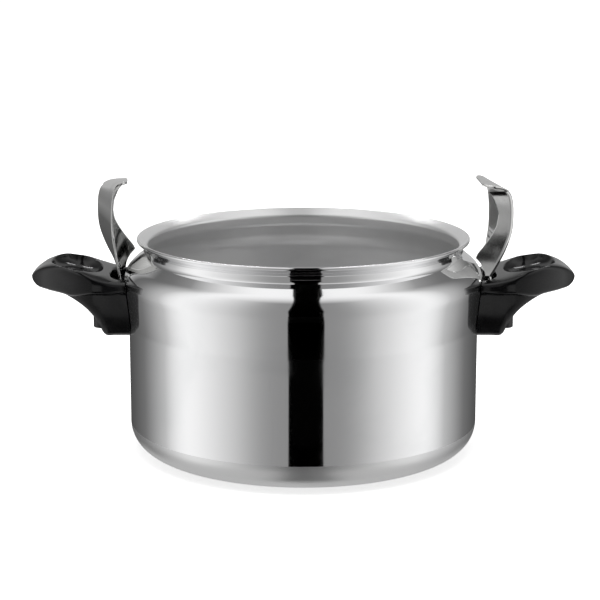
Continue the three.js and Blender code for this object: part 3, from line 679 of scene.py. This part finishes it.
def latch_points():
    """The strip's section carried up its stations.

    A section walks across the strip from its back edge to the front, round the fold and along the
    web, at half a thickness on one side, then returns at half a thickness on the other side.
    """
    stations = latch_centre_line()
    out, up, twist, tilt = stations.T
    level = np.zeros(len(stations))
    along = unit_rows(np.stack([np.gradient(out), level, np.gradient(up)], axis=1))
    across = unit_rows(np.stack([-np.sin(twist), np.cos(twist), tilt], axis=1))
    outward = unit_rows(np.cross(across, along))

    web_low, web_high = WEB_DEPTHS[0, 0], WEB_DEPTHS[-1, 0]
    wanted = np.interp(up, WEB_DEPTHS[:, 0], WEB_DEPTHS[:, 1], left=0, right=0)
    fade = smoothstep(up, web_low, web_low + WEB_START_FADE)
    fade *= 1 - smoothstep(up, web_high - WEB_END_FADE, web_high)
    web = clear_web_depth(stations, wanted) * fade

    tip_distance = np.hypot(out - out[-1], up - up[-1])
    cut = np.clip(1 - tip_distance / HOOK_CORNER, 0, 0.97)
    half_width = LATCH_WIDTH / 2 - HOOK_CORNER * (1 - np.sqrt(1 - cut**2))

    # The fold turns from the strip's own direction to straight in towards the pot.
    fold_turn = np.pi / 2 + twist
    tangent = np.tan(fold_turn / 2)
    fold = np.minimum(FOLD_RADIUS, 0.45 * web / tangent)
    strip_share = np.linspace(0, 1, 40)
    fold_share = np.linspace(0, 1, 12)[1:]
    web_share = np.linspace(0, 1, 24)[1:]
    corner = half_width - LATCH_THICKNESS / 2 * fade
    strip_u = half_width[:, None] + (fold * tangent - corner - half_width)[:, None] * strip_share

    # The fold and the web lie level, whatever the strip's lean.
    flat_down = np.stack([np.sin(twist), -np.cos(twist), level], axis=1)[:, None]
    flat_out = np.stack([np.cos(twist), np.sin(twist), level], axis=1)[:, None]
    angle = (fold_turn[:, None] * fold_share)[..., None]
    flat_normal = flat_out * np.cos(angle) + flat_down * np.sin(angle)
    lean = (outward[:, None] - flat_out) * (1 - fold_share)[:, None]

    strip_path = across[:, None] * strip_u[..., None]
    strip_normal = np.broadcast_to(outward[:, None], strip_path.shape)
    fold_path = strip_path[:, -1:] + (flat_normal - flat_out) * fold[:, None, None]
    fold_normal = flat_normal + lean * np.cos(angle)
    web_length = np.maximum(web - fold * tangent, 0)
    web_heading = flat_down * np.cos(angle[:, -1:]) - flat_out * np.sin(angle[:, -1:])
    web_path = fold_path[:, -1:] + web_heading * (web_length[:, None] * web_share)[..., None]
    web_normal = np.broadcast_to(fold_normal[:, -1:], web_path.shape)
    path = np.concatenate([strip_path, fold_path, web_path], axis=1)
    normal = np.concatenate([strip_normal, fold_normal, web_normal], axis=1)

    half = LATCH_THICKNESS / 2
    round_off = np.linspace(0, np.pi / 2, 4)

    def edge_round(at, at_normal, past):
        """A small quarter round from one face to the end of the path, and back on to the other face."""
        place = at + past * (EDGE_RADIUS * np.sin(round_off) - EDGE_RADIUS)[None, :, None]
        lift = at_normal * (half - EDGE_RADIUS * (1 - np.cos(round_off)))[None, :, None]
        return place + lift, (place - lift)[:, ::-1]

    end_outer, end_inner = edge_round(path[:, -1:], normal[:, -1:], web_heading)
    start_outer, start_inner = edge_round(path[:, :1], normal[:, :1], across[:, None])
    section = np.concatenate(
        [
            start_outer[:, ::-1],
            (path + normal * half)[:, 1:-1],
            end_outer,
            end_inner,
            (path - normal * half)[:, -2:0:-1],
            start_inner,
        ],
        axis=1,
    )
    centre = np.stack([pin_x + out, level, pin_z + up], axis=1)
    return centre[:, None] + section


def capped_sweep(name, sections):
    """A closed mesh through sections of equal point counts, with a fan of faces over each end."""
    rows, columns = sections.shape[:2]
    number = np.arange(rows * columns).reshape(rows, columns)
    joined = np.concatenate([number, number[:, :1]], axis=1)
    corners = [joined[:-1, :-1], joined[:-1, 1:], joined[1:, 1:], joined[1:, :-1]]
    quads = np.stack(corners, axis=-1).reshape(-1, 4).tolist()
    ends = [number[0, ::-1].tolist(), number[-1].tolist()]
    piece = mesh_piece(name, sections.reshape(-1, 3), quads + ends)
    piece.data.set_sharp_from_angle(angle=np.radians(50))
    return piece


polished_steel = metal(
    "polished stainless strip", (0.80, 0.80, 0.79), (0.72, 0.72, 0.715), 0.07, 0.13, smudge_scale=60.0
)
steel_tree = polished_steel.node_tree
grain_place = wire(steel_tree, "Mapping", {"Vector": object_place(steel_tree), "Scale": (1.0, 1.0, 0.03)})
grind = wire(steel_tree, "TexNoise", {"Vector": grain_place.outputs[0], "Scale": 3200.0, "Detail": 2.0})
add_bumps(steel_tree, grind.outputs["Fac"], 0.5, 0.000003)
for unit, unit_turn in UNITS.items():
    latch = move_mesh(capped_sweep(f"{unit}_latch_strip", latch_points()), unit_turn)
    latch.data.materials.append(polished_steel)
    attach(latch, f"{unit}_latch")
    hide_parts(f"{unit}_latch")

# ---------------------------------------------------------------------------------------------
# Hinge pins and rings: a plated pin runs through the ears and the latch's knuckle, and a pressed
# ring at each end keeps it in.
# ---------------------------------------------------------------------------------------------
EAR_GAP = 0.7 * MM
RING_THICKNESS = 0.8 * MM
RING_RADIUS = 3.2 * MM
ring_inside = LATCH_WIDTH / 2 + EAR_GAP + PLATE_THICKNESS + GAP
ring_outside = ring_inside + RING_THICKNESS
pin_end = ring_outside + 0.5 * MM
lay_along_y = [[1, 0, 0], [0, 0, -1], [0, 1, 0]]


def chamfered_rod(radius, low, high, chamfer=0.4 * MM):
    """The outline of a rod with its ends' corners taken off."""
    return np.array(
        [
            [pole, low],
            [radius - chamfer, low],
            [radius, low + chamfer],
            [radius, high - chamfer],
            [radius - chamfer, high],
            [pole, high],
        ]
    )


def washer_outline(bore, radius, low, high, soft=0.12 * MM):
    """A flat ring's closed outline with its outer corners eased."""
    return np.array(
        [
            [bore, low],
            [radius - soft, low],
            [radius, low + soft],
            [radius, high - soft],
            [radius - soft, high],
            [bore, high],
            [bore, low],
        ]
    )


for unit, unit_turn in UNITS.items():
    pin = turned(f"{unit}_hinge_pin_bar", chamfered_rod(PIN_RADIUS, -pin_end, pin_end), 48)
    fixings = {f"{unit}_hinge_pin": pin}
    for place_name, sign in (("front", -1), ("back", 1)):
        edges = sorted([sign * ring_inside, sign * ring_outside])
        node = f"{unit}_pin_ring_{place_name}"
        fixings[node] = turned(f"{node}_pressed", washer_outline(pin_hole, RING_RADIUS, *edges), 48)
    for node, fixing in fixings.items():
        move_mesh(fixing, unit_turn, (lay_along_y, (pin_x, 0, pin_z)))
        fixing.data.set_sharp_from_angle(angle=np.radians(30))
        fixing.data.materials.append(zinc_plated)
        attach(fixing, "root")
        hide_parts(node)

# ---------------------------------------------------------------------------------------------
# Handles: black thermoset mouldings, glossy from the mould. Each has a wide thumb hollow and a
# slot for the latch on top, a foot down the wall, a pocket behind it and a boss for one screw.
# ---------------------------------------------------------------------------------------------
HANDLE_TOP = [  # out from the pot's widest ring and up from its height, in millimetres
    (-7, 2.4),
    (3, 3.4),
    (15, 6.8),
    (27, 11),
    (38, 13.2),
    (48, 11.2),
    (54, 8),
    (57.3, 5),
    (58.8, 2.2),
]
HANDLE_UNDERSIDE = [
    (-7, -33),
    (4, -33),
    (10, -33),
    (12.1, -31.2),
    (14.3, -26.4),
    (18.2, -20.2),
    (24.4, -13.7),
    (34.9, -7.4),
    (47, -4.8),
    (54, -3.2),
    (57.3, -0.6),
    (58.8, 2.2),
]
HANDLE_REACH = 58.8 * MM
HANDLE_CREASE = -2 * MM
GRIP_HALF_WIDTH = 30 * MM
GRIP_ROOT_HALF_WIDTH = 25.5 * MM
GRIP_WIDEST = 17 * MM
GRIP_DROP = 3.5 * MM
GRIP_TAPER = (1.6, 0.55)
CREASE_SHARE = 0.3
NOSE_FLAT = 0.4 * MM
LEAST_SIZE = 0.02 * MM  # of the sections at the nose
SQUARE, ROUNDED = 7, 3  # superellipse powers
FOOT_FADE = 25 * MM
FOOT_SHARE = 0.68
MOULDING_WALL = 3 * MM
POCKET_CLEARANCE = 0.6 * MM
THUMB_LENGTH = 33 * MM
THUMB_WIDTH = 48 * MM
THUMB_DEPTH = 8 * MM
THUMB_CENTRE = (29 * MM, 11.6 * MM)
THUMB_TILT = np.radians(12)
THUMB_RIM = 0.9 * MM
SLOT_GAP = 2.1 * MM
SLOT_OUT = 4.1 * MM
SLOT_ROUND = 8 * MM
SLOT_RIM = 1.0 * MM
SCREW_OUT = 14.8 * MM
SCREW_RADIUS = 2 * MM
SCREW_HEAD_RADIUS = 3.5 * MM
SCREW_HEAD_RISE = 2.6 * MM
SCREW_SEAT = -26.4 * MM
SCREW_STAND = 1 * MM
BOSS_RADIUS = 5.4 * MM
BOSS_BOTTOM = -31 * MM
EAR_RADIUS = 4 * MM
BRACKET_BOTTOM = -27.4 * MM
TONGUE_HEIGHT = -12.8 * MM
TONGUE_HALF_WIDTH = 7.5 * MM
TONGUE_END = 5.2 * MM
WASHER_THICKNESS = 1 * MM
NUT_THICKNESS = 3.2 * MM
NUT_ACROSS_FLATS = 7 * MM
pocket_half_width = pin_end + POCKET_CLEARANCE
foot_half_width = pocket_half_width + MOULDING_WALL
screw_x = body_radius + SCREW_OUT
tongue_low = shoulder_height + TONGUE_HEIGHT
tongue_high = tongue_low + PLATE_THICKNESS
screw_end = tongue_high + GAP + NUT_THICKNESS + SCREW_STAND


def super_reach(cosine, sine, half_width, half_height, power):
    """Distance from a superellipse's centre to its edge along (cosine, sine)."""
    return (np.abs(cosine / half_width) ** power + np.abs(sine / half_height) ** power) ** (-1 / power)


def grip_half_width(x):
    """Half the grip's width: a parabola to the widest place, then a tapering superellipse to the nose."""
    back = (GRIP_WIDEST - x) / (GRIP_WIDEST - HANDLE_TOP[0][0] * MM)
    along = np.clip((x - GRIP_WIDEST) / (HANDLE_REACH - GRIP_WIDEST), 0, 1)
    root = GRIP_HALF_WIDTH - (GRIP_HALF_WIDTH - GRIP_ROOT_HALF_WIDTH) * back**2
    return np.where(x < GRIP_WIDEST, root, GRIP_HALF_WIDTH * (1 - along ** GRIP_TAPER[0]) ** GRIP_TAPER[1])


def thumb_hollow(x, y, z):
    """Lowers points to the scoop: a flat floor whose parabola-shaped wall rises to a softened rim."""
    c, s = np.cos(THUMB_TILT), np.sin(THUMB_TILT)
    out, rise = x - THUMB_CENTRE[0], z - THUMB_CENTRE[1]
    local_x, local_z = out * c + rise * s, rise * c - out * s
    from_centre = np.hypot(local_x / (THUMB_LENGTH / 2), y / (THUMB_WIDTH / 2))
    wall = bend([0.5, -1], [0.95, -0.95], [1.0, 0], 40)
    scoop = THUMB_DEPTH * np.interp(from_centre, [*wall[:, 0], 1.12], [*wall[:, 1], 1.6])
    blend = THUMB_RIM * np.logaddexp(0, (local_z - scoop) / THUMB_RIM)
    local_z = local_z - blend
    return THUMB_CENTRE[0] + local_x * c - local_z * s, THUMB_CENTRE[1] + local_x * s + local_z * c


def slot_edge_distance(x, y):
    """Roughly how far a point lies outside the latch's slot, from the slot's superellipse."""
    half_width = LATCH_WIDTH / 2 + SLOT_GAP
    out = np.maximum(x - (HINGE_OUT + SLOT_OUT - SLOT_ROUND), 0)
    share = ((out / SLOT_ROUND) ** ROUNDED + np.abs(y / half_width) ** ROUNDED) ** (1 / ROUNDED)
    steep = np.hypot(out / SLOT_ROUND**2, y / half_width**2) / np.maximum(share, 0.1)
    return (share - 1) / np.maximum(steep, 1 / half_width)


def handle_blank_points(stations=230, around=280):
    """The moulding's skin [station, angle]: a wide grip joined with a squarer foot below its crease.

    Stations are evenly spaced along the underside. At each, the skin is the farther of two
    superellipses round the crease: the grip's, squarer on top, and the foot's.
    """
    samples = np.linspace(0, 1, 2000)
    top = smooth_curve(np.array(HANDLE_TOP) * MM, samples)
    underside = smooth_curve(np.array(HANDLE_UNDERSIDE) * MM, samples)
    length = np.concatenate([[0], np.cumsum(np.linalg.norm(np.diff(underside, axis=0), axis=1))])
    x = np.interp(np.linspace(0, length[-1], stations), length, underside[:, 0])
    x = np.minimum(x, HANDLE_REACH - 0.05 * MM)[:, None]
    nose_ease = NOSE_FLAT * smoothstep(x, 0.8 * HANDLE_REACH, HANDLE_REACH)
    high = np.interp(x, top[:, 0], top[:, 1])
    low = np.minimum(np.interp(x, underside[:, 0], underside[:, 1]), high - LEAST_SIZE)
    crease = np.maximum(HANDLE_CREASE, low + CREASE_SHARE * (high - low))
    wide = np.maximum(grip_half_width(x), LEAST_SIZE)
    outboard = smoothstep(x, GRIP_WIDEST, GRIP_WIDEST + FOOT_FADE)
    narrow = foot_half_width + (FOOT_SHARE * wide - foot_half_width) * outboard
    drop = GRIP_DROP + (crease - low - GRIP_DROP) * outboard
    buried = np.minimum(GRIP_DROP, (high - crease) / 2)

    angle = np.linspace(0, 2 * np.pi, around, endpoint=False)[None, :]
    above = np.sin(angle) > 0
    cosine = wide * np.cos(angle)
    sine = np.where(above, high - crease, crease - low) * np.sin(angle)
    grip_above = super_reach(cosine, sine, wide, high - crease, SQUARE)
    grip_below = super_reach(cosine, sine, wide, drop, ROUNDED)
    foot = super_reach(cosine, sine, narrow, np.where(above, buried, crease - low), SQUARE)
    grip = np.where(above, grip_above, grip_below)
    reach = np.maximum(grip, foot)
    soft = 0.02
    blended = grip * (1 + soft * np.logaddexp(0, (foot / grip - 1) / soft))
    reach = np.where(above, reach, np.minimum(blended, reach * 1.02))
    y = reach * cosine
    z = crease + reach * sine
    x = np.broadcast_to(x - nose_ease, y.shape)

    dished_x, dished_z = thumb_hollow(x, y, z)
    x, z = np.where(above, dished_x, x), np.where(above, dished_z, z)
    near = np.clip(1 - slot_edge_distance(x, y) / SLOT_RIM, 0, 1)
    z = z - np.where(above, SLOT_RIM * (1 - np.sqrt(1 - near**2)), 0)
    return np.stack([body_radius + x, y, shoulder_height + z], axis=-1)


def block(name, low, high):
    """A closed box between two corners, for cutting."""
    low, high = np.array(low), np.array(high)
    unit = np.array([[i, j, k] for i in (0, 1) for j in (0, 1) for k in (0, 1)])
    faces = [[0, 1, 3, 2], [4, 6, 7, 5], [0, 4, 5, 1], [2, 3, 7, 6], [0, 2, 6, 4], [1, 5, 7, 3]]
    return mesh_piece(name, low + unit * (high - low), faces)


def slot_cutter():
    """A prism over the slot's outline: straight behind, and half a superellipse outwards."""
    half_width = LATCH_WIDTH / 2 + SLOT_GAP
    angle = np.linspace(-np.pi / 2, np.pi / 2, 61)
    reach = super_reach(np.cos(angle), np.sin(angle), SLOT_ROUND, half_width, ROUNDED)
    x = pin_x + SLOT_OUT - SLOT_ROUND + reach * np.cos(angle)
    outline_x = np.concatenate([[body_radius - 9 * MM], x, [body_radius - 9 * MM]])
    outline_y = np.concatenate([[-half_width], reach * np.sin(angle), [half_width]])
    outline_z = np.broadcast_to([[pin_z], [POT_HEIGHT]], (2, len(outline_x)))
    ends = np.broadcast_arrays(outline_x, outline_y, outline_z)
    return capped_sweep("slot cutter", np.stack(ends, axis=-1))


def round_cutter(name, radius, low, high):
    """A rod at the screw's place, for cutting or joining."""
    rod = turned(name, chamfered_rod(radius, low, high, 0.3 * MM), 64)
    return move_mesh(rod, 0, (np.eye(3), (screw_x, 0, 0)))


def carve(piece, cutters, operation):
    """Joins cutters to a piece or takes them out of it, for good, and removes the cutters."""
    for cutter in cutters:
        step = piece.modifiers.new("carve", "BOOLEAN")
        step.operation = operation
        step.solver = "EXACT"
        step.object = cutter
    bpy.context.view_layer.update()
    carved = bpy.data.meshes.new_from_object(piece.evaluated_get(bpy.context.evaluated_depsgraph_get()))
    piece.modifiers.clear()
    piece.data = carved
    for cutter in cutters:
        bpy.data.objects.remove(cutter)
    return piece


def moulding(name):
    """The right handle: blank and boss joined, then pocket, slot, screw holes and pot's wall cut away."""
    handle = capped_sweep(name, handle_blank_points())
    seat = shoulder_height + SCREW_SEAT
    boss = round_cutter("boss", BOSS_RADIUS, shoulder_height + BOSS_BOTTOM, (seat + tongue_low) / 2)
    carve(handle, [boss], "UNION")
    behind = body_radius - 8 * MM
    chamber = block(
        "chamber",
        (behind, -pocket_half_width, shoulder_height + BRACKET_BOTTOM - POCKET_CLEARANCE),
        (pin_x + EAR_RADIUS + POCKET_CLEARANCE, pocket_half_width, pin_z + EAR_RADIUS + GAP),
    )
    tongue_side = TONGUE_HALF_WIDTH + POCKET_CLEARANCE
    tongue_room = block(
        "tongue room",
        (behind, -tongue_side, tongue_low - GAP),
        (screw_x + TONGUE_END + GAP, tongue_side, screw_end + POCKET_CLEARANCE),
    )
    recess = round_cutter("recess", SCREW_HEAD_RADIUS + POCKET_CLEARANCE, 0, seat)
    hole = round_cutter("hole", SCREW_RADIUS + GAP, 0, tongue_low)
    wall_outline = body_outline(-POT_GAP, -POT_GAP)
    closed_outline = np.concatenate(
        [[[pole, -POT_GAP]], wall_outline, [[wall_outline[-1, 0], POT_HEIGHT], [pole, POT_HEIGHT]]]
    )
    wall_shape = turned("wall shape", closed_outline, 360)
    carve(handle, [chamber, tongue_room, slot_cutter(), recess, hole, wall_shape], "DIFFERENCE")
    handle.data.polygons.foreach_set("use_smooth", np.ones(len(handle.data.polygons), bool))
    handle.data.set_sharp_from_angle(angle=np.radians(40))
    return handle


black_moulding, gloss = new_material("glossy black thermoset")
gloss.inputs["IOR"].default_value = 1.48
black_tree = black_moulding.node_tree
marks = use_effect(black_tree, handling, Smudge_scale=45.0, Scratch_scale=140.0)
shade = worn_colour(black_tree, marks["Smudges"], (0.0035, 0.0035, 0.0038), (0.007, 0.007, 0.0075))
black_tree.links.new(shade, gloss.inputs["Base Color"])
half_scratches = calculate(black_tree, "MULTIPLY", marks["Scratches"], 0.5)
dull = calculate(black_tree, "ADD", marks["Smudges"], half_scratches, clamp=True)
black_tree.links.new(remap(black_tree, dull, 0.0, 1.0, 0.13, 0.24), gloss.inputs["Roughness"])
peel = wire(black_tree, "TexNoise", {"Vector": object_place(black_tree), "Scale": 260.0, "Detail": 3.0})
add_bumps(black_tree, peel.outputs["Fac"], 0.35, 0.00004)

right_moulding = moulding("right_handle_moulding")
left_moulding = bpy.data.objects.new("left_handle_moulding", right_moulding.data.copy())
scene.collection.objects.link(left_moulding)
move_mesh(left_moulding, UNITS["left"])
for unit, handle in (("right", right_moulding), ("left", left_moulding)):
    handle.data.materials.clear()
    handle.data.materials.append(black_moulding)
    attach(handle, "root")
    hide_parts(f"{unit}_handle")

# ---------------------------------------------------------------------------------------------
# Handle screws: a slotted plated screw with a washer goes up through each boss and the bracket's
# tongue, and a hexagon nut in the pocket holds it.
# ---------------------------------------------------------------------------------------------
DRIVE_WIDTH = 1 * MM
DRIVE_DEPTH = 1.2 * MM


def screw_outline():
    """A screw along +Z: crowned head, a flat seat, and a chamfered shank."""
    seat = shoulder_height + SCREW_SEAT - 2 * GAP - WASHER_THICKNESS
    head_low = seat - SCREW_HEAD_RISE
    crown = 0.55 * SCREW_HEAD_RADIUS
    head = bend([crown, head_low], [SCREW_HEAD_RADIUS, head_low], [SCREW_HEAD_RADIUS, seat - 0.5 * MM], 10)
    shank = chamfered_rod(SCREW_RADIUS, seat, screw_end)[2:]
    flat_seat = [[SCREW_HEAD_RADIUS, seat], [SCREW_RADIUS, seat]]
    return np.concatenate([[[pole, head_low]], head, flat_seat, shank[1:]])


for unit, unit_turn in UNITS.items():
    at_screw = (np.eye(3), (screw_x, 0, 0))
    screw = turned(f"{unit}_screw_slotted", screw_outline(), 48)
    head_low = screw_outline()[0, 1]
    reach = 2 * SCREW_HEAD_RADIUS
    drive_low = (-reach, -DRIVE_WIDTH / 2, head_low - 1 * MM)
    drive_high = (reach, DRIVE_WIDTH / 2, head_low + DRIVE_DEPTH)
    carve(screw, [block("drive", drive_low, drive_high)], "DIFFERENCE")
    bore = SCREW_RADIUS + GAP
    washer_top = shoulder_height + SCREW_SEAT - GAP
    washer_low = washer_top - WASHER_THICKNESS
    flat_ring = washer_outline(bore, SCREW_HEAD_RADIUS + GAP, washer_low, washer_top)
    washer = turned(f"{unit}_washer_flat", flat_ring, 48)
    nut_low = tongue_high + GAP
    hexagon = washer_outline(bore, NUT_ACROSS_FLATS / np.sqrt(3), nut_low, nut_low + NUT_THICKNESS)
    nut = turned(f"{unit}_nut_hexagon", hexagon, 6)
    for node, fixing in (("handle_screw", screw), ("screw_washer", washer), ("handle_nut", nut)):
        move_mesh(fixing, unit_turn, at_screw)
        fixing.data.set_sharp_from_angle(angle=np.radians(30))
        fixing.data.materials.clear()
        fixing.data.materials.append(zinc_plated)
        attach(fixing, "root")
        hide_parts(f"{unit}_{node}")
